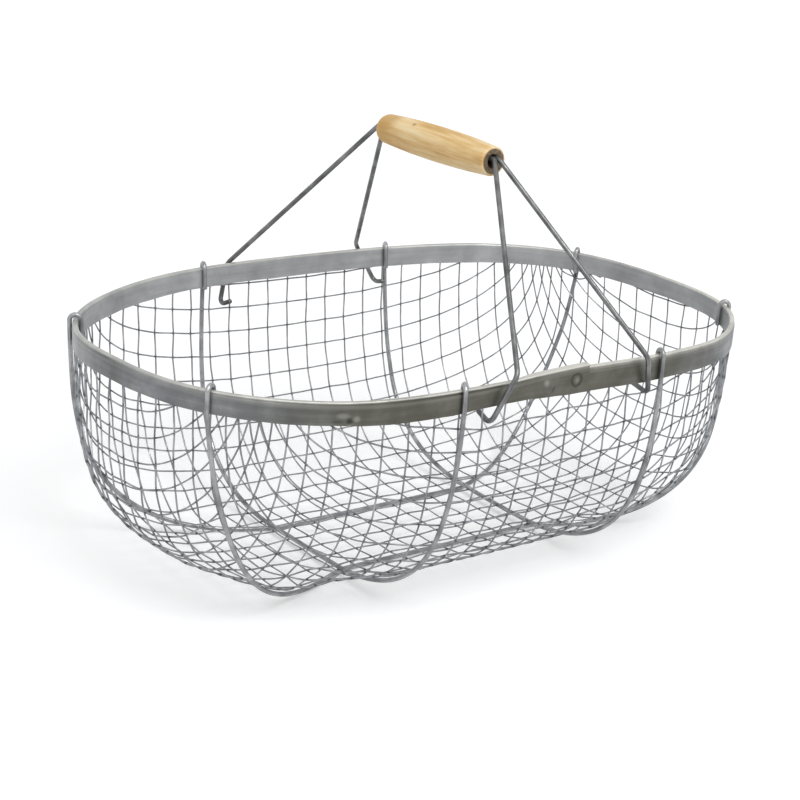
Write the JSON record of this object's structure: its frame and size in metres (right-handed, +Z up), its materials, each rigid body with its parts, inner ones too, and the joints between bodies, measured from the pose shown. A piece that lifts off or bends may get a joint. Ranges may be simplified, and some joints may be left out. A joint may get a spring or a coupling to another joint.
{
  "type": "harvest basket",
  "caption": "Oval wire harvest basket with a folded sheet-metal rim, wire ribs under a woven bowl and a wire bail handle with a turned wooden grip.",
  "frame": {"origin": "on the ground under the middle of the bowl", "axes": "+X along the length of the basket, -Y towards the side with the lapped rim joint, +Z up"},
  "size_m": [0.505, 0.3372, 0.304],
  "materials": {
    "wire_cloth": "dull galvanised",
    "rim_sheet": "weathered galvanised",
    "rib_wire": "dull galvanised",
    "bail_wire": "dull galvanised",
    "grip_wood": "turned, bare"
  },
  "bodies": {
    "basket": {"mesh_body": "wire_cloth", "rim_band": "rim_sheet", "front_long_rib": "rib_wire", "rear_long_rib": "rib_wire", "left_cross_rib": "rib_wire", "right_cross_rib": "rib_wire"},
    "handle": {"left_bail": "bail_wire", "right_bail": "bail_wire"},
    "grip": {"grip": "grip_wood"}
  },
  "joints": [
    {"name": "handle_lift", "type": "slide", "parent": "basket", "child": "handle", "axis": [0, 0, 1], "range_m": [0, 0.0042]},
    {"name": "grip_spin", "type": "hinge", "parent": "handle", "child": "grip", "pos_m": [0.005, 0, 0.2915], "axis": [0, 1, 0], "continuous": true}
  ]
}
